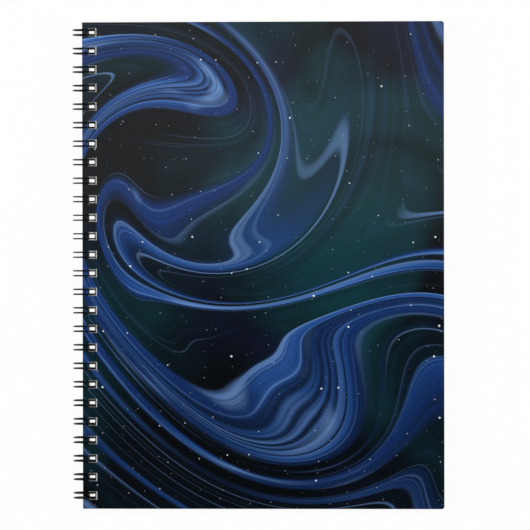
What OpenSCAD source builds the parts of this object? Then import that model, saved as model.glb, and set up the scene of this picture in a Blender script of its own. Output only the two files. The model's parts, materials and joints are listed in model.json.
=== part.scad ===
// Wire-bound notepad, lying on its back cover: spine at -X, head edge at +Y, front cover up.
// The origin is under the middle of the whole notepad, on the surface that it lies on.
// The rings, the holes and both covers are set out from the rings' axis, which runs along Y.

/* [Covers] */
// Width of the covers, from the spine edge to the fore edge
cover_w = 165.1; // [120:0.1:220]
// Height of the covers, from the tail edge to the head edge
cover_h = 222.25; // [150:0.05:300]
// Thickness of the printed front card
card_t = 0.4; // [0.3:0.05:0.8]
// Thickness of the film that carries the print
film_t = 0.1; // [0.05:0.01:0.15]
// Thickness of the stiff back board
board_t = 0.9; // [0.5:0.1:1.5]
// Radius of the corners at the fore edge
corner_r = 1.2; // [0.5:0.1:5]

/* [Pages] */
// Number of sheets
sheet_count = 44; // [20:1:60]
// Thickness of one sheet
sheet_t = 0.1; // [0.08:0.01:0.12]
// How far the sheets stay inside the covers, along each edge
page_inset = 0.4; // [0.2:0.1:0.7]

/* [Holes] */
// From the covers' spine edge to the near side of the holes
hole_margin = 2.65; // [2.4:0.05:4]
// Free space between the rings and the head, tail and far sides of the covers' holes
hole_play = 0.15; // [0.1:0.05:0.4]
// How much wider the sheets' holes are than the covers', at the near, head and tail sides
sheet_ease = 0.25; // [0.2:0.05:0.4]
// Free space between the rings and the far side of the sheets' holes
ring_play = 0.25; // [0.15:0.05:0.6]
// Width of the bare rim that the punch leaves in the print, round each hole
rim_w = 0.3; // [0.15:0.05:0.4]

/* [Wire] */
// Diameter of the wire
wire_d = 0.65; // [0.6:0.05:1]
// Distance from one loop to the next
pitch = 8.467; // [8:0.001:12.7]
// From the head edge to the middle of the first loop
head_margin = 4.54; // [4:0.01:8]
// Distance between the two wires of a loop, from centre to centre
twin_gap = 2.25; // [2:0.05:2.6]
// Radius of the bends where a loop turns into the straight run to the next loop
bend_r = 1; // [0.8:0.05:1.3]
// How much thinner the wire is where it is drawn round its tight bends
draw_down = 0.02; // [0.02:0.01:0.06]
// How far the end of a tight bend reaches into the stretch of wire beside it
lap = 0.05; // [0.03:0.01:0.1]
// From the covers' spine edge to the rings' axis
axis_inset = 0.84; // [0.74:0.02:1.4]
// Free space between the rings and the nearest edge of the back board
ring_slack = 0.48; // [0.2:0.02:1]
// Straight end of the wire past the first and the last loop
wire_end = 1; // [0.4:0.1:1.8]

/* [Fits] */
// Free space over and under the straight runs, between the last sheet and the back board
seam_play = 0.1; // [0.08:0.01:0.3]
// Gap between a loop's closed tip and the bends that it comes down on
tip_gap = 0.03; // [0.02:0.01:0.1]
// Clearance of the front cover over the corner of the pages as it turns
turn_play = 0.05; // [0.03:0.01:0.2]

/* [Hidden] */
$fn = 96;

card_white = "#e8e6e1";
night_black = "#0a0e16";
deep_blue = "#1b3276";
light_blue = "#4b74bd";
dark_teal = "#0f4646";
paper_white = "#f1efe8";
board_black = "#191a1c";
wire_black = "#0c0c0e";

// The stack, as distances from the rings' axis. The pages lie evenly above and below it,
// so that each cover clears them all the way round to the other side.
pages_t = sheet_count * sheet_t;
pages_edge = axis_inset - page_inset;
front_low = norm([pages_edge, pages_t / 2]) + turn_play;
seam_t = wire_d + 2 * seam_play;
board_top = -pages_t / 2 - seam_t;
board_low = board_top - board_t;

// The rings just clear the near edge of the board's holes. At the far side each hole clears
// them where they pass through it: level with the axis in the pages, and higher in the cover.
hole_near = hole_margin - axis_inset;
ring_r = norm([hole_near, board_low]) + ring_slack + wire_d / 2;
ring_out = ring_r + wire_d / 2;
hole_far = sqrt(pow(ring_out, 2) - pow(front_low, 2)) + hole_play;
hole_h = twin_gap + wire_d + 2 * hole_play;
pages_far = ring_out + ring_play;

// How far a cutter reaches past the faces that it cuts through
past = 1;

// The wire's straight runs lie in the seam, between the last sheet and the back board.
run_z = board_top + seam_play + wire_d / 2;
run_angle = asin(run_z / norm([ring_r, bend_r]));
run_l = pitch - twin_gap - 2 * bend_r;
loop_start = run_angle + atan(bend_r / ring_r);

// Each loop's closed tip comes round to nest between its own two bends, level with the runs.
tip_r = twin_gap / 2;
nest = tip_r + bend_r;
tip_drop = sqrt(pow(nest + wire_d + tip_gap, 2) - pow(nest, 2)) - nest;
loop_end = 360 + run_angle - atan(tip_r / ring_r) - tip_drop / ring_r * 180 / PI;

loops = floor((cover_h - 2 * head_margin) / pitch) + 1;
first_y = cover_h / 2 - head_margin;
function loop_y(i) = first_y - i * pitch;

// The rings' axis, with the whole notepad centred on X and its lowest point at Z = 0.
axis_x = (ring_out + axis_inset - cover_w) / 2;
axis_z = ring_out;

// The print: bands that flow in tangent arcs. Each has its start and its width as shares of
// the cover, a heading, and its arcs as a radius, also a share, and a turn.
// Positive turns are to the left.
bands = [
    [[-0.03, 0.91], 0.12, 18, [[0.60, -36], [0.30, -92], [0.28, -88]]],
    [[0.04, 0.64], 0.07, -84, [[0.34, 74], [0.95, 32], [0.60, -26]]],
    [[-0.03, 0.47], 0.15, -52, [[1.40, 26], [0.19, 122], [0.12, -88], [0.80, -20]]],
    [[-0.03, 0.27], 0.07, -46, [[0.95, 46], [0.36, 62], [0.30, -60]]],
];
// Each band is deep blue with a light streak along it: the streak's share of the width.
streak_share = 0.34;
// Soft round clouds: centre and radius as shares of the cover
clouds = [[[0.84, 0.76], 0.26], [[0.86, 0.24], 0.13], [[0.56, 0.56], 0.12]];
function on_cover(share) = [share[0] * cover_w, share[1] * cover_h];

// A flat sheet with its near edge at x = near, its far edge at x = far, and round fore corners.
module sheet(near, far, height, thick) {
    linear_extrude(thick) {
        translate([near, -height / 2])
            square([far - near - corner_r, height]);
        translate([near, corner_r - height / 2])
            square([far - near, height - 2 * corner_r]);
        for (side = [-1, 1])
            translate([far - corner_r, side * (height / 2 - corner_r)])
                circle(corner_r);
    }
}

// The row of punches, one for each loop, with the holes in the covers as their pattern. Each
// is wider than the pattern by the ease given, and goes from z = low to z = high.
module punches(ease, far, low, high) {
    near = hole_near - ease;
    height = hole_h + 2 * ease;
    for (i = [0 : loops - 1])
        translate([near, loop_y(i) - height / 2, low])
            cube([far - near, height, high - low]);
}

module cover_sheet(thick) {
    sheet(-axis_inset, cover_w - axis_inset, cover_h, thick);
}

// One band of the print, drawn arc by arc from a point and a heading.
module band(start, width, heading, arcs, i = 0) {
    if (i < len(arcs)) {
        radius = arcs[i][0] * cover_w;
        turn = arcs[i][1];
        side = sign(turn);
        centre = start + side * radius * [-sin(heading), cos(heading)];
        from = heading - side * 90;
        translate(centre)
            rotate_extrude(start = min(from, from + turn), angle = abs(turn))
                translate([radius - width / 2, 0])
                    square([width, film_t]);
        band(centre + radius * [cos(from + turn), sin(from + turn)],
             width, heading + turn, arcs, i + 1);
    }
}

// All the bands, at the given share of their width.
module all_bands(share) {
    translate([-axis_inset, -cover_h / 2, 0])
        for (b = bands)
            band(on_cover(b[0]), share * b[1] * cover_w, b[2], b[3]);
}

module all_clouds() {
    translate([-axis_inset, -cover_h / 2, 0])
        for (c = clouds)
            translate(on_cover(c[0]))
                cylinder(r = c[1] * cover_w, h = film_t);
}

// The printed film: four fields of colour that fit together into one flat sheet.
module film() {
    color(light_blue)
        intersection() {
            cover_sheet(film_t);
            all_bands(streak_share);
        }
    color(deep_blue)
        difference() {
            intersection() {
                cover_sheet(film_t);
                all_bands(1);
            }
            all_bands(streak_share);
        }
    color(dark_teal)
        difference() {
            intersection() {
                cover_sheet(film_t);
                all_clouds();
            }
            all_bands(1);
        }
    color(night_black)
        difference() {
            cover_sheet(film_t);
            all_bands(1);
            all_clouds();
        }
}

module front_cover() {
    translate([axis_x, 0, axis_z + front_low])
        difference() {
            union() {
                color(card_white)
                    cover_sheet(card_t - film_t);
                translate([0, 0, card_t - film_t])
                    film();
            }
            punches(0, hole_far, -past, card_t + past);
            punches(rim_w, hole_far + rim_w, card_t - film_t, card_t + past);
        }
}

module pages() {
    color(paper_white)
        translate([axis_x, 0, axis_z - pages_t / 2])
            difference() {
                sheet(-pages_edge, cover_w - axis_inset - page_inset,
                      cover_h - 2 * page_inset, pages_t);
                punches(sheet_ease, pages_far, -past, pages_t + past);
            }
}

module back_cover() {
    color(board_black)
        translate([axis_x, 0, axis_z + board_low])
            difference() {
                cover_sheet(board_t);
                punches(0, hole_far, -past, board_t + past);
            }
}

// A ring: the wire bent round a centre at the origin, in the XY plane.
module ring(from, turn) {
    rotate_extrude(start = from, angle = turn)
        translate([ring_r, 0])
            circle(d = wire_d, $fn = 32);
}

// A tight bend in the XY plane, drawn down a little and lapped at both ends.
module tight_bend(radius, from, turn) {
    lap_angle = lap / radius * 180 / PI;
    rotate_extrude(start = from - lap_angle, angle = turn + 2 * lap_angle)
        translate([radius, 0])
            circle(d = wire_d - draw_down, $fn = 32);
}

// Lays flat work against the rings at an angle round them: its +Y follows the wire round,
// and its +X runs along the spine, towards the tail.
module on_ring(angle) {
    rotate([90, 0, 0])
        rotate([0, 0, angle])
            translate([ring_r, 0, 0])
                rotate([0, -90, 0])
                    children();
}

// One twin loop: two rings side by side, the closed tip that joins them, and their two bends.
module twin_loop() {
    for (side = [-1, 1])
        translate([0, side * twin_gap / 2, 0])
            rotate([90, 0, 0])
                ring(loop_start, loop_end - loop_start);
    on_ring(loop_end)
        tight_bend(tip_r, 0, 180);
    on_ring(loop_start) {
        translate([nest, 0])
            tight_bend(bend_r, 180, 90);
        translate([-nest, 0])
            tight_bend(bend_r, 270, 90);
    }
}

// A straight stretch of wire in the seam, from the end of a bend on.
module run(length) {
    on_ring(loop_start)
        translate([nest, -bend_r, 0])
            rotate([0, 90, 0])
                cylinder(d = wire_d, h = length, $fn = 32);
}

module binding_wire() {
    color(wire_black)
        translate([axis_x, 0, axis_z]) {
            for (i = [0 : loops - 1])
                translate([0, loop_y(i), 0])
                    twin_loop();
            for (i = [0 : loops - 2])
                translate([0, loop_y(i), 0])
                    run(run_l);
            translate([0, loop_y(loops - 1), 0])
                run(wire_end);
            translate([0, loop_y(0), 0])
                mirror([0, 1, 0])
                    run(wire_end);
        }
}

front_cover();
pages();
back_cover();
binding_wire();
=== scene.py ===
# %% [markdown]
# A wire-bound notepad
#
# The notepad is four pieces: a printed front card, a block of punched sheets, a stiff back
# board, and one long black wire that is bent into a row of twin loops and holds the rest.
# The sizes and the moving joints come ready-made with the frame that is loaded first. This
# script dresses that frame: it makes the wire and the sheets as fine meshes, mixes a finish
# for every surface, and sets up the camera and the lights.

# %% Load the frame
import json
import math

import bpy
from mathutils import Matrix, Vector


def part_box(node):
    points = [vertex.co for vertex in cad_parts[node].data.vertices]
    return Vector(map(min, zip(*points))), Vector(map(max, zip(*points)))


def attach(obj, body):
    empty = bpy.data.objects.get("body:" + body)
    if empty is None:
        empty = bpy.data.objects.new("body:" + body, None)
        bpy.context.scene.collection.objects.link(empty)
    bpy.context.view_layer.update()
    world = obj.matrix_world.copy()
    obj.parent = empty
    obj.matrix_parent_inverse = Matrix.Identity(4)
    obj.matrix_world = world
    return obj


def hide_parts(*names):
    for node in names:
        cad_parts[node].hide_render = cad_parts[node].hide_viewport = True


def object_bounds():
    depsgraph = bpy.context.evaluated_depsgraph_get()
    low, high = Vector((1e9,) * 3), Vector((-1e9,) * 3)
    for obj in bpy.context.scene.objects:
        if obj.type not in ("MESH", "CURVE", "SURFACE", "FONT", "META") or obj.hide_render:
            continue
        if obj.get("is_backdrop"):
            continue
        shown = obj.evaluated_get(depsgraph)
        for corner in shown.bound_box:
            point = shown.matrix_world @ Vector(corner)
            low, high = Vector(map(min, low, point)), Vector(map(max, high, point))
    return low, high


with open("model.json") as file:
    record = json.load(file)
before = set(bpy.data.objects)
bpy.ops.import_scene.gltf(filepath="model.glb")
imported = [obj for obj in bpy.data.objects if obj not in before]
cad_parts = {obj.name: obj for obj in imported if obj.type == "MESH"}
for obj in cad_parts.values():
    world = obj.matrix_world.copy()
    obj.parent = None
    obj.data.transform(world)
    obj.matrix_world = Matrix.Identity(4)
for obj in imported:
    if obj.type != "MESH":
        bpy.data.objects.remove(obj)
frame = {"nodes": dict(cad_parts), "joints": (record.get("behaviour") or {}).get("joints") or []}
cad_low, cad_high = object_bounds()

MM = 0.001
print("pieces:", sorted(frame["nodes"]))
print("whole notepad, mm:", [round(size / MM, 2) for size in cad_high - cad_low])

# %% [markdown]
# Sizes
#
# Everything is set out from the rings' axis, which is also where both covers turn. The axis
# and the sheets' places are read from the frame, so they can't drift apart from it. Only what
# a box can't tell, such as how thick the wire is, is written here as a size of its own.

# %% Name the sizes
axis_x, _, axis_z = frame["joints"][0]["pos_m"]
card_low, card_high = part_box("front_cover")
pages_low, pages_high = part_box("pages")

CARD_W = card_high.x - card_low.x
CARD_H = card_high.y - card_low.y
FILM_T = 0.1 * MM
WIRE_D = 0.65 * MM
LOOP_PITCH = 8.467 * MM
HEAD_MARGIN = 4.54 * MM
TWIN_GAP = 2.25 * MM
BEND_R = 1.0 * MM
WIRE_END = 1.0 * MM
HOLE_MARGIN = 2.65 * MM
HOLE_PLAY = 0.15 * MM
HOLE_SIDE = TWIN_GAP + WIRE_D + 2 * HOLE_PLAY
RIM_W = 0.3 * MM
SEAM_PLAY = 0.1 * MM
TIP_GAP = 0.03 * MM
SHEETS = 44

ring_r = axis_z - WIRE_D / 2
hole_near_x = card_low.x + HOLE_MARGIN
hole_far_x = axis_x + math.sqrt(axis_z**2 - (card_low.z - axis_z) ** 2) + HOLE_PLAY
first_loop_y = card_high.y - HEAD_MARGIN
loop_count = math.floor((CARD_H - 2 * HEAD_MARGIN) / LOOP_PITCH) + 1
print("loops:", loop_count, " ring radius, mm:", round(ring_r / MM, 3))
print("holes end from the spine edge, mm:", round((hole_far_x - card_low.x) / MM, 2))

# %% [markdown]
# The camera
#
# The photo looks straight down on the closed notepad. Two things in it say where the camera
# stood. The four corners of the cover give its tilt. The loops give its distance: near the
# middle of the spine each wire hides its own lower half, and towards the head and the tail
# the lower half slides out from under it by a wire's width. Both together were worked out
# once, and they are kept here as plain sizes. The small helper add_object comes back for
# every mesh and lamp that is made further down.

# %% Set the camera
CAMERA_PLACE = Vector((84.09, 17.63, 1888.06)) * MM
CAMERA_TURN = [math.radians(angle) for angle in (-0.535, 2.462, -0.1)]
CAMERA_LENS = 280.25
CAMERA_SENSOR = 36
CAMERA_REACH = (0.1, 50)


def add_object(name, data):
    """Makes an object from some data and puts it in the scene."""
    made = bpy.data.objects.new(name, data)
    bpy.context.scene.collection.objects.link(made)
    return made


camera_data = bpy.data.cameras.new("camera")
camera_data.lens = CAMERA_LENS
camera_data.sensor_width = CAMERA_SENSOR
camera_data.clip_start, camera_data.clip_end = CAMERA_REACH
camera = add_object("camera", camera_data)
camera.location = CAMERA_PLACE
camera.rotation_euler = CAMERA_TURN
bpy.context.scene.camera = camera
print("camera, m above the floor:", round(CAMERA_PLACE.z, 2))

# %% [markdown]
# Writing shader maths as Python
#
# A finish is a tree of small nodes. Wiring each sum by hand hides what it works out, so the
# class Signal wraps a node's output and lets Python's own signs add the Math nodes. After
# that, 1 - edge or wave * 0.5 reads as it would on paper.

# %% Signals
class Signal:
    """A node's output, on which + - * / ** > < abs and round add Math nodes."""

    def __init__(self, finish, socket):
        self.finish = finish
        self.socket = socket

    def math(self, operation, *values):
        return self.finish.node("ShaderNodeMath", {"operation": operation}, dict(enumerate(values)))

    def __add__(self, other):
        return self.math("ADD", self, other)

    def __radd__(self, other):
        return self.math("ADD", other, self)

    def __sub__(self, other):
        return self.math("SUBTRACT", self, other)

    def __rsub__(self, other):
        return self.math("SUBTRACT", other, self)

    def __mul__(self, other):
        return self.math("MULTIPLY", self, other)

    def __rmul__(self, other):
        return self.math("MULTIPLY", other, self)

    def __truediv__(self, other):
        return self.math("DIVIDE", self, other)

    def __rtruediv__(self, other):
        return self.math("DIVIDE", other, self)

    def __pow__(self, other):
        return self.math("POWER", self, other)

    def __gt__(self, other):
        return self.math("GREATER_THAN", self, other)

    def __lt__(self, other):
        return self.math("LESS_THAN", self, other)

    def __abs__(self):
        return self.math("ABSOLUTE", self)

    def __round__(self):
        return self.math("ROUND", self)

    def larger(self, other):
        return self.math("MAXIMUM", self, other)

    def between(self, low, high):
        """0 below low, 1 above high, and a smooth slope from one to the other."""
        return self.finish.node(
            "ShaderNodeMapRange",
            {"interpolation_type": "SMOOTHSTEP"},
            {"Value": self, "From Min": low, "From Max": high},
        )


# %% [markdown]
# Making a finish
#
# A finish is a material with one principled shader, Blender's all-round model of a surface.
# What is the same all over is set on the shader's own sockets, and what varies is a Signal
# that is linked to one. The class Finish keeps the two together. Its method node adds any
# kind of node, and the short methods after it name the few kinds that come back often.

# %% Finishes
class Finish:
    """A material, with the principled shader that its looks go into."""

    def __init__(self, name, **constants):
        self.material = bpy.data.materials.new(name)
        self.material.use_nodes = True
        self.tree = self.material.node_tree
        self.tree.nodes.clear()
        self.shader = self.tree.nodes.new("ShaderNodeBsdfPrincipled")
        self.output = self.tree.nodes.new("ShaderNodeOutputMaterial")
        self.tree.links.new(self.shader.outputs[0], self.output.inputs["Surface"])
        self.set(**constants)

    def put(self, socket, value):
        """Links a signal to a socket, or sets the socket's own value."""
        if isinstance(value, Signal):
            self.tree.links.new(value.socket, socket)
        else:
            socket.default_value = value

    def set(self, **looks):
        """Sets the shader's inputs by name, with _ for a space."""
        for name, value in looks.items():
            self.put(self.shader.inputs[name.replace("_", " ")], value)

    def node(self, kind, settings=None, inputs=None, output=0):
        """Adds a node: its settings first, then its inputs. Returns one of its outputs."""
        made = self.tree.nodes.new(kind)
        for name, value in (settings or {}).items():
            setattr(made, name, value)
        for name, value in (inputs or {}).items():
            self.put(made.inputs[name], value)
        return Signal(self, made.outputs[output])

    def place(self):
        """The surface's own place, in metres, which moves with the piece."""
        return self.node("ShaderNodeTexCoord", output="Object")

    def parts(self, vector):
        """A vector's x, y and z."""
        split = self.node("ShaderNodeSeparateXYZ", inputs={0: vector}).socket.node
        return [Signal(self, socket) for socket in split.outputs]

    def join(self, x, y, z=0.0):
        return self.node("ShaderNodeCombineXYZ", inputs={0: x, 1: y, 2: z})

    def noise(self, place, scale, detail=0.0, rough=0.5, output=0, dimensions="3D"):
        return self.node(
            "ShaderNodeTexNoise",
            {"noise_dimensions": dimensions},
            {
                ("W" if dimensions == "1D" else "Vector"): place,
                "Scale": scale,
                "Detail": detail,
                "Roughness": rough,
            },
            output,
        )

    def vector(self, operation, first, second, output=0):
        """Vector maths, which works on x, y and z at once."""
        return self.node(
            "ShaderNodeVectorMath", {"operation": operation}, {0: first, 1: second}, output
        )

    def pushed(self, place, scale, amount):
        """place, pushed about across the card by a slow noise."""
        push = self.noise(place, scale, output="Color")
        centred = self.vector("SUBTRACT", push, (0.5, 0.5, 0.5))
        flat = self.vector("MULTIPLY", centred, (amount, amount, 0))
        return self.vector("ADD", place, flat)

    def mix(self, share, first, second):
        """One colour laid over another: all first at 0, all second at 1."""
        return self.node("ShaderNodeMix", {"data_type": "RGBA"}, {0: share, 6: first, 7: second}, 2)

    def bump(self, height, distance, strength):
        """A surface that looks raised by up to this distance, where height is 1."""
        return self.node(
            "ShaderNodeBump",
            inputs={"Height": height, "Distance": distance, "Strength": strength},
        )


# %% [markdown]
# Colours, and putting a finish on
#
# A shader reckons in amounts of light. A screen's numbers from 0 to 255 are spaced along a
# curve that suits the eye instead. The function rgb undoes that curve, so that a colour can be
# written down as it is seen. The function dress puts a finish on one of the frame's pieces.

# %% Colours and dressing
def rgb(red, green, blue):
    """A colour as a screen shows it, from 0 to 255, turned into the light that a shader wants."""
    def light(value):
        share = value / 255
        return share / 12.92 if share <= 0.04045 else ((share + 0.055) / 1.055) ** 2.4

    return (light(red), light(green), light(blue), 1.0)


def dress(piece, finish):
    """Gives a piece one finish."""
    piece.data.materials.clear()
    piece.data.materials.append(finish.material)


# %% [markdown]
# The printed card
#
# The front card carries a marbled night sky: a near-black ground with teal mist, ribbons of
# blue that run beside each other like stirred paint, and small white stars. Stirred paint
# keeps its layers in order and only bends them. So the print starts from a plain count of
# layers, and the sheet that the count is drawn on is stirred first: turned round two
# centres, then pushed about by two slow noises. Every colour is then chosen by the layer,
# and so the ribbons never cross, whatever the stirring does.

# %% Colours of the print
NIGHT = rgb(3, 6, 8)
TEAL = rgb(8, 54, 60)
INDIGO = rgb(15, 22, 50)
DEEP = rgb(9, 23, 38)
HAZE = rgb(30, 66, 96)
NAVY = rgb(11, 28, 56)
ROYAL = rgb(17, 48, 106)
CORNFLOWER = rgb(46, 97, 172)
PALE = rgb(120, 161, 218)
STAR = rgb(226, 234, 240)

# %% [markdown]
# Stirring the sheet
#
# All places on the print are counted in card widths from the spine edge and the middle of
# the height. The third number only picks which piece of the endless noise is used, as a
# seed does. A swirl turns the paint most at its centre and less and less further out.

# %% Stir
PRINT_SEED = 32.94
# Each swirl's centre, its radius and its turn in radians, then how sharply they all end.
SWIRLS = [((0.30, 0.28, PRINT_SEED), 0.34, 2.4), ((0.74, -0.26, PRINT_SEED), 0.36, -2.2)]
SWIRL_FALL = 4
# Each push's scale, and how far it pushes.
PUSHES = [(1.1, 1.0), (2.4, 0.28)]
LAYER_TILT = 0.7


def swirl(paint, place, centre, radius, turn):
    """place, turned round a centre: most in the middle, half as much at the radius."""
    away = paint.vector("DISTANCE", place, centre, "Value")
    angle = turn / (1 + (away / radius) ** SWIRL_FALL)
    return paint.node(
        "ShaderNodeVectorRotate",
        {"rotation_type": "Z_AXIS"},
        {"Vector": place, "Center": centre, "Angle": angle},
    )


def stirred(paint, place):
    """Which layer each point of the card lies in, and how far along that layer."""
    for centre, radius, turn in SWIRLS:
        place = swirl(paint, place, centre, radius, turn)
    for scale, amount in PUSHES:
        place = paint.pushed(place, scale, amount)
    x, y, _ = paint.parts(place)
    return y + x * LAYER_TILT, x - y * LAYER_TILT


# %% [markdown]
# Colouring the layers
#
# Four noises read the layer alone: a broad one picks which layers are blue, a middle one
# makes ribbons, a fine one draws threads, and the finest leaves the hair lines of a brush.
# Three more run slowly along the ribbons and quickly across them: one gives them their satin
# sheen, one the short bright gleams where they bend, and one the wisps in the mist. Three
# soft clouds lie over the whole sheet: one helps to pick where it is blue, one is the teal
# mist, and one is the indigo dusk. Printed ink has a little grain of its own too, finer than
# anything drawn with it. The inks then go on in one list, each over all those before it.

# %% Ribbons and mist
# The bands' scales: how finely they follow each other across one card width.
BROAD, RIBBON, THREAD, HAIR = 3.2, 11.0, 46.0, 130.0
# Streaks: their scale along a ribbon, across it, and which piece of the noise they use.
SATIN = (1.6, 7.0, PRINT_SEED)
GLEAM = (4.5, 10.0, PRINT_SEED + 5)
WISP = (2.4, 30.0, PRINT_SEED + 9)
INK_GRAIN = 230.0


def bands(paint, layer, scale, **looks):
    """A noise that changes from layer to layer, and not along one."""
    return paint.noise(layer, scale, dimensions="1D", **looks)


def streaks(paint, layer, along, kind, **looks):
    """A noise that runs slowly along the ribbons and quickly across them."""
    slow, quick, pick = kind
    return paint.noise(paint.join(along * slow, layer * quick, pick), 1.0, **looks)


def ribbons(paint, sheet, layer, along):
    """The ground with its mist, and the blue ribbons over it."""
    broad = bands(paint, layer, BROAD)
    ribbon = bands(paint, layer + 11.0, RIBBON, detail=1.0)
    thread = bands(paint, layer + 23.0, THREAD, detail=2.0, rough=0.6)
    hair = bands(paint, layer + 37.0, HAIR, detail=2.0, rough=0.7)
    satin = streaks(paint, layer, along, SATIN, detail=1.0)
    gleam = streaks(paint, layer, along, GLEAM, detail=1.0)
    wisp = streaks(paint, layer, along, WISP, detail=3.0, rough=0.6)
    zone = paint.noise(sheet, 1.6)
    mist = paint.noise(paint.pushed(sheet, 2.0, 0.6), 1.9, detail=3.0, rough=0.45)
    dusk = paint.noise(paint.pushed(sheet, 1.7, 0.5), 2.1, detail=2.0)
    grain = paint.noise(sheet, INK_GRAIN, detail=2.0, rough=0.7)

    blue = (broad * 0.50 + ribbon * 0.38 + zone * 0.12).between(0.495, 0.625)
    fold = (ribbon * 0.6 + thread * 0.4).between(0.40, 0.62)
    threads = thread.between(0.56, 0.70) * satin.between(0.40, 0.60) * ribbon.between(0.40, 0.55)
    fog = mist.between(0.42, 0.66)

    inks = [
        (dusk.between(0.52, 0.72) * 0.7, INDIGO),
        (satin.between(0.40, 0.65) * 0.4, DEEP),
        (fog * wisp.between(0.46, 0.74) * 0.6, HAZE),
        (blue, NAVY),
        (blue * fold, ROYAL),
        (blue * fold * satin.between(0.47, 0.66), CORNFLOWER),
        (blue * fold * satin.between(0.60, 0.76) * 0.7, PALE),
        (blue * gleam.between(0.55, 0.76) * 0.8, PALE),
        (blue * hair.between(0.46, 0.70) * 0.5, NAVY),
        (threads * 0.55, PALE),
        (grain.between(0.35, 0.75) * (0.004 + blue * 0.16), CORNFLOWER),
    ]
    colour = paint.mix(fog, NIGHT, TEAL)
    for share, ink in inks:
        colour = paint.mix(share, colour, ink)
    return colour


# %% [markdown]
# Stars
#
# A Voronoi texture drops one point into each square of a grid. Near its point a square is
# lit, and the square's random colour decides whether it is, how large the star is and how
# bright. Two such grids are laid over each other: a coarse one with the stars that catch the
# eye, and a fine one with the dust between them. Before the stars go on, the lower half of
# the sky is made darker, most of all towards the tail.

# %% Stars and the whole print
# Squares across the card, a star's smallest radius and its spread in squares, brightness.
BRIGHT_STARS = (12.0, 0.016, 0.030, 0.95)
STAR_DUST = (23.0, 0.020, 0.022, 0.42)
# Where the shade starts and where it is full, in card widths from the middle.
TAIL_FADE = (0.05, -0.50)
TAIL_SHADE = 0.4


def stars(paint, sheet, across, smallest, spread, brightness):
    """How bright a star is at each point: 0 between them."""
    sky = paint.node(
        "ShaderNodeTexVoronoi", {"voronoi_dimensions": "2D"}, {"Vector": sheet, "Scale": across}
    ).socket.node
    shown, size, _ = paint.parts(Signal(paint, sky.outputs["Color"]))
    reach = smallest + size * size * spread
    speck = 1 - (Signal(paint, sky.outputs["Distance"]) / reach).between(0.4, 1.0)
    return speck * shown.between(0.2, 0.6) * (0.3 + size * 0.7) * brightness


def night_print(paint, x, y):
    """The colour of the print at each point of the card."""
    height = y / CARD_W
    sheet = paint.join((x - card_low.x) / CARD_W, height, PRINT_SEED)
    layer, along = stirred(paint, sheet)
    colour = ribbons(paint, sheet, layer, along)
    colour = paint.mix(height.between(*TAIL_FADE) * TAIL_SHADE, colour, NIGHT)
    for grid in (STAR_DUST, BRIGHT_STARS):
        colour = paint.mix(stars(paint, sheet, *grid), colour, STAR)
    return colour


# %% [markdown]
# Where the holes are
#
# Painted light goes round each hole: painted shade on the paper and a pale painted highlight
# on the card beside it. So two finishes have to know where the holes are. All holes are
# alike and evenly spaced. Dividing the way down the spine by the pitch and taking the nearest
# whole number off leaves how far a point is from the middle of its own hole, without a list
# of holes.

# %% Distance from a hole
def off_middle(y):
    """How far a point lies from the middle of the nearest hole, along the spine."""
    loops = (y - first_loop_y) / LOOP_PITCH
    return abs(loops - round(loops)) * LOOP_PITCH


def off_hole(x, y):
    """How far outside the covers' nearest hole a point lies."""
    across = (hole_near_x - x).larger(x - hole_far_x)
    return across.larger(off_middle(y) - HOLE_SIDE / 2)


# %% [markdown]
# The card under the print
#
# The print is on a thin film with a satin face. The card under it is plain and pale, and it
# shows at the cut edges and on the inside of the cover. Height decides which of the two is
# seen, because the film is the top tenth of a millimetre. The punch leaves a narrow rim
# round each hole, a step down in the mesh. At the spine side the rim and the wall of the hole
# under it are given the dark print colour, as painted shade from the rings. The other rims
# keep most of the print colour, as painted shade too. A little back from the far side the
# print is thinned, and that leaves one pale line: a painted highlight.

# %% Finish of the front card
# Painted shade: the share of print colour left on the head and tail rims of each hole.
RIM_SHADE_SHARE = 0.74
# Painted highlight: how much the pale line beside the far side of each hole thins the print.
FAR_HIGHLIGHT_SHARE = 0.6
WALL_PLAY = 0.01 * MM
CARD_FIBRES = 1800.0
FIBRE_HEIGHT = 0.01 * MM
FILM_WAVES = 260.0
BARE_ROUGH, FILM_SMOOTHS, FILM_UNEVEN = 0.75, 0.56, 0.03

# Where the pale painted highlight beside the far side of each hole starts and ends.
highlight_from = hole_far_x + 0.2 * MM
highlight_to = hole_far_x + 0.6 * MM
printed_card = Finish("printed_card", Specular_IOR_Level=0.5)
where = printed_card.place()
x, y, z = printed_card.parts(where)
on_top = z > card_high.z - FILM_T / 2
on_rim = z > card_high.z - FILM_T * 1.5
by_spine = x < hole_near_x
by_rings = x < highlight_from
# Painted shade: the near wall of each hole takes the dark print colour.
shaded_wall = x.math("COMPARE", x, hole_near_x, WALL_PLAY)
# Painted highlight: the print is thinned in a line beside the far side of each hole.
far_highlight = (x > highlight_from) * (x < highlight_to)
far_highlight = far_highlight * (off_middle(y) < HOLE_SIDE / 2 + RIM_W)
# Painted shade on the rims: all of the print colour at the spine side, most of it elsewhere.
shaded_rims = on_rim * (by_spine * (1 - RIM_SHADE_SHARE) + by_rings * RIM_SHADE_SHARE)
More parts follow.
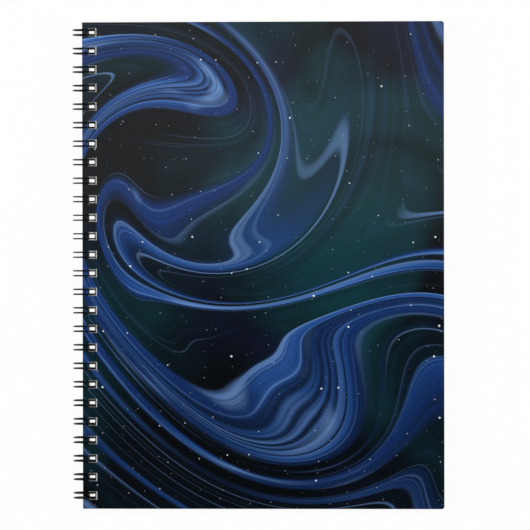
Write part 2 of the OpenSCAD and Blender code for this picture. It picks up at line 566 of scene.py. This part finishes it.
# The print colour shows where the film is and where shade is painted, and is thinned where the
# highlight is painted.
film_and_painted_light = on_top.larger(shaded_rims.larger(shaded_wall)) * (1 - far_highlight * FAR_HIGHLIGHT_SHARE)
fibre = printed_card.noise(where, CARD_FIBRES, detail=3.0, rough=0.6)
bare_card = printed_card.mix(fibre, rgb(214, 211, 203), rgb(238, 236, 230))
face = printed_card.noise(where, FILM_WAVES, detail=1.0)
printed_card.set(
    Base_Color=printed_card.mix(film_and_painted_light, bare_card, night_print(printed_card, x, y)),
    Roughness=BARE_ROUGH - film_and_painted_light * (FILM_SMOOTHS - face * FILM_UNEVEN),
    Normal=printed_card.bump(fibre * (1 - film_and_painted_light * 0.9), FIBRE_HEIGHT, 0.5),
)
dress(frame["nodes"]["front_cover"], printed_card)
print("front card nodes:", len(printed_card.tree.nodes))

# %% [markdown]
# The binding wire
#
# One wire makes all the loops. It comes along the seam at the back, turns up round a tight
# bend, goes round as a ring, turns back on itself in a round tip, and comes back beside
# itself to the next straight run. The path of one loop is worked out as points. Geometry
# Nodes then repeat it down the spine, weld the repeats into a single line and draw the
# wire's round section along it, so that a change of wire or pitch is one number.

# %% One loop's path
ARC_STEP = math.radians(6)
TIP_STEPS = 12
BEND_STEPS = 6

half_pages = (pages_high.z - pages_low.z) / 2
tip_r = TWIN_GAP / 2
nest = tip_r + BEND_R
run_z = -half_pages - SEAM_PLAY - WIRE_D / 2
run_angle = math.asin(run_z / math.hypot(ring_r, BEND_R))
loop_start = run_angle + math.atan(BEND_R / ring_r)
tip_drop = math.sqrt((nest + WIRE_D + TIP_GAP) ** 2 - nest**2) - nest
loop_end = 2 * math.pi + run_angle - math.atan(tip_r / ring_r) - tip_drop / ring_r


def on_ring(angle, along=0.0, side=0.0):
    """A point on the rings, some way along the wire's own direction there, and to one side."""
    return Vector((
        axis_x + ring_r * math.cos(angle) - along * math.sin(angle),
        side,
        axis_z + ring_r * math.sin(angle) + along * math.cos(angle),
    ))


def half_loop():
    """One side of a twin loop, from the middle of a straight run to the top of the tip."""
    points = [on_ring(loop_start, -BEND_R, LOOP_PITCH / 2)]
    for step in range(BEND_STEPS):
        turn = math.pi / 2 * (1 - step / BEND_STEPS)
        points.append(on_ring(loop_start, -BEND_R * math.sin(turn), nest - BEND_R * math.cos(turn)))
    arc_steps = math.ceil((loop_end - loop_start) / ARC_STEP)
    for step in range(arc_steps):
        angle = loop_start + (loop_end - loop_start) * step / arc_steps
        points.append(on_ring(angle, 0, tip_r))
    for step in range(TIP_STEPS // 2 + 1):
        turn = math.pi * step / TIP_STEPS
        points.append(on_ring(loop_end, tip_r * math.sin(turn), tip_r * math.cos(turn)))
    return points


def line_object(name, points):
    """A mesh that is a single line through the points."""
    mesh = bpy.data.meshes.new(name)
    mesh.from_pydata(points, [(i, i + 1) for i in range(len(points) - 1)], [])
    return add_object(name, mesh)


one_side = half_loop()
other_side = [Vector((p.x, -p.y, p.z)) for p in reversed(one_side[:-1])]
wire = line_object("wire_loops", one_side + other_side)
print("points in one loop:", len(wire.data.vertices))

# %% [markdown]
# A helper for Geometry Nodes
#
# A node tree for geometry is built as a shader's is: add nodes, set them, link them. The
# helper keeps the tree's named inputs beside their values, and sets each one on the
# modifier by its identifier before the piece is first evaluated. When the tree has made
# its mesh, the result is turned into a plain mesh and the modifier goes.

# %% Geometry helper
class Recipe:
    """A Geometry Nodes tree on one object, with named inputs."""

    SOCKETS = {int: "NodeSocketInt", float: "NodeSocketFloat", Vector: "NodeSocketVector"}

    def __init__(self, piece, name, sizes, finish):
        self.piece = piece
        self.tree = bpy.data.node_groups.new(name, "GeometryNodeTree")
        face = self.tree.interface
        face.new_socket("Geometry", in_out="INPUT", socket_type="NodeSocketGeometry")
        face.new_socket("Geometry", in_out="OUTPUT", socket_type="NodeSocketGeometry")
        keys = {}
        for label, value in sizes.items():
            kind = self.SOCKETS[type(value)]
            keys[label] = face.new_socket(label, in_out="INPUT", socket_type=kind).identifier
        keys["Finish"] = face.new_socket(
            "Finish", in_out="INPUT", socket_type="NodeSocketMaterial"
        ).identifier
        self.given = self.tree.nodes.new("NodeGroupInput")
        self.result = self.tree.nodes.new("NodeGroupOutput")
        self.modifier = piece.modifiers.new(name, "NODES")
        self.modifier.node_group = self.tree
        for label, value in {**sizes, "Finish": finish.material}.items():
            self.modifier[keys[label]] = value

    def size(self, label):
        return self.given.outputs[label]

    def node(self, kind, settings=None, inputs=None, output=0):
        made = self.tree.nodes.new(kind)
        for name, value in (settings or {}).items():
            setattr(made, name, value)
        for name, value in (inputs or {}).items():
            if isinstance(value, bpy.types.NodeSocket):
                self.tree.links.new(value, made.inputs[name])
            else:
                made.inputs[name].default_value = value
        return made.outputs[output]

    def finish(self, geometry):
        """Ends the tree, makes the piece a plain mesh and takes the modifier off."""
        real = self.node("GeometryNodeRealizeInstances", inputs={0: geometry})
        dressed = self.node(
            "GeometryNodeSetMaterial", inputs={0: real, "Material": self.size("Finish")}
        )
        self.tree.links.new(dressed, self.result.inputs[0])
        graph = bpy.context.evaluated_depsgraph_get()
        mesh = bpy.data.meshes.new_from_object(self.piece.evaluated_get(graph), depsgraph=graph)
        self.piece.modifiers.clear()
        self.piece.data = mesh
        triangles = sum(len(polygon.vertices) - 2 for polygon in mesh.polygons)
        print(self.piece.name, "triangles:", triangles)


# %% [markdown]
# The wire's finish
#
# The wire is steel in a thin black nylon coat. A coat like that is smooth but not perfect:
# it pools and thins along the wire, which breaks up the highlights, so a slow noise varies
# the roughness and a finer one lifts the surface by a few thousandths of a millimetre.

# %% Finish of the wire
COAT_POOLS = 900.0
COAT_GRAIN = 4000.0
COAT_HEIGHT = 0.006 * MM
COAT_ROUGH, COAT_UNEVEN = 0.24, 0.16

coated_wire = Finish("black_wire", IOR=1.45, Specular_IOR_Level=0.25)
where = coated_wire.place()
pooling = coated_wire.noise(where, COAT_POOLS, detail=2.0)
coated_wire.set(
    Base_Color=coated_wire.mix(pooling, rgb(2, 2, 3), rgb(7, 7, 8)),
    Roughness=COAT_ROUGH + pooling * COAT_UNEVEN,
    Normal=coated_wire.bump(
        coated_wire.noise(where, COAT_GRAIN, detail=1.0), COAT_HEIGHT, 0.5
    ),
)

# %% Draw the wire
WIRE_SIDES = 14
WIRE_WELD = 0.01 * MM

half_run = LOOP_PITCH / 2 - nest

recipe = Recipe(
    wire,
    "twin_loops",
    {
        "Loops": loop_count,
        "First loop": Vector((0, first_loop_y, 0)),
        "Pitch": Vector((0, -LOOP_PITCH, 0)),
        "Wire radius": WIRE_D / 2,
        "Sides": WIRE_SIDES,
        "End trim": half_run - WIRE_END,
    },
    coated_wire,
)
spots = recipe.node(
    "GeometryNodeMeshLine",
    {"mode": "OFFSET"},
    {
        "Count": recipe.size("Loops"),
        "Start Location": recipe.size("First loop"),
        "Offset": recipe.size("Pitch"),
    },
)
loops = recipe.node(
    "GeometryNodeInstanceOnPoints", inputs={"Points": spots, "Instance": recipe.given.outputs[0]}
)
joined = recipe.node("GeometryNodeRealizeInstances", inputs={0: loops})
welded = recipe.node("GeometryNodeMergeByDistance", inputs={0: joined, "Distance": WIRE_WELD})
path = recipe.node("GeometryNodeMeshToCurve", inputs={0: welded})
length = recipe.node("GeometryNodeSplineLength", output="Length")
end_trim = recipe.size("End trim")
keep_to = recipe.node("ShaderNodeMath", {"operation": "SUBTRACT"}, {0: length, 1: end_trim})
trimmed = recipe.node(
    "GeometryNodeTrimCurve", {"mode": "LENGTH"}, {0: path, "Start": end_trim, "End": keep_to}
)
section = recipe.node(
    "GeometryNodeCurvePrimitiveCircle",
    inputs={"Resolution": recipe.size("Sides"), "Radius": recipe.size("Wire radius")},
)
tube = recipe.node(
    "GeometryNodeCurveToMesh",
    inputs={"Curve": trimmed, "Profile Curve": section, "Fill Caps": True},
)
recipe.finish(recipe.node("GeometryNodeSetShadeSmooth", inputs={0: tube}))
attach(wire, "pad")
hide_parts("binding_wire")

# %% [markdown]
# The sheets
#
# Forty-four sheets make the block. Each is the same sheet, punched with the same square
# holes, and they never lie perfectly square to each other. So one thin sheet is repeated up
# the block, and each copy is nudged by a random tenth of a millimetre or so. A random tone
# goes with each copy as an attribute, because in a real block the edges of some sheets look
# a little lighter than others. The paper round the edges of the holes is darkened to grey:
# painted shade in the holes.

# %% Finish of the paper
# How far the painted shade round each hole reaches on the paper.
HOLE_SHADE_REACH = 0.5 * MM
PAPER_FIBRES = 2500.0
PAPER_CLOUDS = 60.0
PAPER_HEIGHT = 0.02 * MM

paper = Finish("paper", Roughness=0.85, Specular_IOR_Level=0.25)
where = paper.place()
tone = paper.node("ShaderNodeAttribute", {"attribute_name": "tone"}, output="Fac")
fibre = paper.noise(where, PAPER_FIBRES, detail=3.0, rough=0.7)
cloud = paper.noise(where, PAPER_CLOUDS, detail=2.0)
shade = tone * 0.55 + fibre * 0.3 + cloud * 0.3
sheet_colour = paper.mix(shade, rgb(228, 222, 211), rgb(246, 243, 237))
x, y, _ = paper.parts(where)
# Painted shade: the paper darkens to grey round the edges of the holes.
beyond_hole_shade = (off_hole(x, y) - fibre * HOLE_SHADE_REACH / 2).between(HOLE_SHADE_REACH / 2, HOLE_SHADE_REACH)
paper.set(
    Base_Color=paper.mix(beyond_hole_shade, rgb(74, 73, 72), sheet_colour),
    Normal=paper.bump(fibre, PAPER_HEIGHT, 0.5),
)

# %% Stack the sheets
NUDGE = 0.13 * MM
LEAF_SHARE = 0.9
LEAF_WELD = 0.001 * MM
STACK_SEED = 7

sheet_step = (pages_high.z - pages_low.z) / SHEETS
leaf_mesh = frame["nodes"]["pages"].data.copy()
leaf_mesh.materials.clear()
for corner in leaf_mesh.vertices:
    corner.co.z = pages_low.z + (corner.co.z - pages_low.z) / SHEETS * LEAF_SHARE
leaves = add_object("leaves", leaf_mesh)

recipe = Recipe(
    leaves,
    "stack_of_sheets",
    {
        "Sheets": SHEETS,
        "Step": Vector((0, 0, sheet_step)),
        "Nudge": Vector((NUDGE, NUDGE, 0)),
        "Back nudge": Vector((-NUDGE, -NUDGE, 0)),
        "Seed": STACK_SEED,
    },
    paper,
)
spots = recipe.node(
    "GeometryNodeMeshLine",
    {"mode": "OFFSET"},
    {"Count": recipe.size("Sheets"), "Offset": recipe.size("Step")},
)
merged = recipe.node(
    "GeometryNodeMergeByDistance", inputs={0: recipe.given.outputs[0], "Distance": LEAF_WELD}
)
stack = recipe.node("GeometryNodeInstanceOnPoints", inputs={"Points": spots, "Instance": merged})
offset = recipe.node(
    "FunctionNodeRandomValue",
    {"data_type": "FLOAT_VECTOR"},
    {0: recipe.size("Back nudge"), 1: recipe.size("Nudge"), "Seed": recipe.size("Seed")},
)
nudged = recipe.node("GeometryNodeTranslateInstances", inputs={0: stack, "Translation": offset})
leaf_tone = recipe.node(
    "FunctionNodeRandomValue", {"data_type": "FLOAT"}, {"Seed": recipe.size("Seed")}, output=1
)
toned = recipe.node(
    "GeometryNodeStoreNamedAttribute",
    {"data_type": "FLOAT", "domain": "INSTANCE"},
    {0: nudged, "Name": "tone", "Value": leaf_tone},
)
recipe.finish(toned)
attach(leaves, "pad")
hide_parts("pages")

# %% [markdown]
# The back board
#
# The back is a plain black board. Board is pressed fibre, so close up it has a fine uneven
# grain, and a few fibres catch the light.

# %% Finish of the board
BOARD_GRAIN = 1400.0
BOARD_HEIGHT = 0.03 * MM

board = Finish("back_board", Roughness=0.7, Specular_IOR_Level=0.35)
where = board.place()
grain = board.noise(where, BOARD_GRAIN, detail=4.0, rough=0.65)
board.set(
    Base_Color=board.mix(grain.between(0.3, 0.75), rgb(24, 25, 27), rgb(44, 45, 48)),
    Normal=board.bump(grain, BOARD_HEIGHT, 0.6),
)
dress(frame["nodes"]["back_cover"], board)

# %% [markdown]
# Floor, background and light
#
# The photo has a plain white background. Here that is a pale floor. It looks nearly white to
# the camera and in reflections. Soft light meets it as a plain matt surface, so the light that
# it throws back on the notepad stays true, and it keeps a trace of shadow.

# %% Floor
FLOOR_SIZE = 8.0
FLOOR_GLOW = 0.94

half = FLOOR_SIZE / 2
floor_corners = [(-half, -half, 0), (half, -half, 0), (half, half, 0), (-half, half, 0)]
floor_mesh = bpy.data.meshes.new("floor")
floor_mesh.from_pydata(floor_corners, [], [(0, 1, 2, 3)])
floor = add_object("floor", floor_mesh)
floor_finish = Finish("floor", Base_Color=rgb(240, 240, 240), Roughness=0.9, Specular_IOR_Level=0.0)
glow = floor_finish.node("ShaderNodeEmission", inputs={"Color": (1, 1, 1, 1), "Strength": 1.0})
rays = floor_finish.node("ShaderNodeLightPath").socket.node
seen = Signal(floor_finish, rays.outputs["Is Camera Ray"])
for kind in ("Is Glossy Ray", "Is Transmission Ray"):
    seen = seen + Signal(floor_finish, rays.outputs[kind])
matt = Signal(floor_finish, floor_finish.shader.outputs[0])
blend = floor_finish.node(
    "ShaderNodeMixShader", inputs={0: seen * FLOOR_GLOW, 1: matt, 2: glow}
)
floor_finish.put(floor_finish.output.inputs["Surface"], blend)
floor.data.materials.append(floor_finish.material)
floor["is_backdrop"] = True

# %% [markdown]
# The lamps
#
# Two large soft lamps stand to the left and the right, so far round that a flat cover throws
# their light away from the camera and its dark print stays dark. A third, dim and low over
# the head half, is there for what a satin film shows of it: the soft grey sheen that fades
# out just past the middle. The walls of the room are a dim grey and its ceiling is nearly
# black.

# %% Lamps and room
SIDE_LAMP_SIZE, SIDE_LAMP_WATTS = (0.7, 0.9), 14
SHEEN_LAMP_SIZE, SHEEN_LAMP_WATTS = (0.34, 0.22), 0.11
# How steeply a direction points up, from 0 to 1, and how light the room is there.
ROOM_SHADES = [(0.1, 0.15), (0.85, 0.015)]


def soft_lamp(name, place, aim, size, watts):
    """A flat soft lamp, turned towards a point."""
    data = bpy.data.lights.new(name, "AREA")
    data.shape = "RECTANGLE"
    data.size, data.size_y = size
    data.energy = watts
    lamp = add_object(name, data)
    lamp.location = place
    lamp.rotation_euler = (Vector(aim) - Vector(place)).to_track_quat("-Z", "Y").to_euler()


for side in (-1.0, 1.0):
    soft_lamp("side_lamp", (side, 0.1, 0.85), (0, 0, 0), SIDE_LAMP_SIZE, SIDE_LAMP_WATTS)
soft_lamp("sheen_lamp", (0.0, 0.13, 0.38), (0.0, 0.13, 0), SHEEN_LAMP_SIZE, SHEEN_LAMP_WATTS)

world = bpy.data.worlds.new("studio")
bpy.context.scene.world = world
world.use_nodes = True
room = world.node_tree
background = room.nodes["Background"]
direction = room.nodes.new("ShaderNodeTexCoord").outputs["Generated"]
split = room.nodes.new("ShaderNodeSeparateXYZ")
shades = room.nodes.new("ShaderNodeValToRGB")
room.links.new(direction, split.inputs[0])
room.links.new(split.outputs["Z"], shades.inputs[0])
room.links.new(shades.outputs[0], background.inputs["Color"])
for stop, (steepness, light) in zip(shades.color_ramp.elements, ROOM_SHADES):
    stop.position = steepness
    stop.color = (light, light, light, 1)

bpy.context.scene.view_settings.view_transform = "Standard"

# %% [markdown]
# The dressed size
#
# The dressed notepad has to fill the same box as the frame it was built round. Both boxes are
# worked out, and the last line prints the dressed size.

# %% The dressed size
seen_low, seen_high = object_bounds()
{"cad": [list(cad_low), list(cad_high)], "seen": [list(seen_low), list(seen_high)]}
print("dressed notepad, mm:", [round(size / MM, 2) for size in seen_high - seen_low])
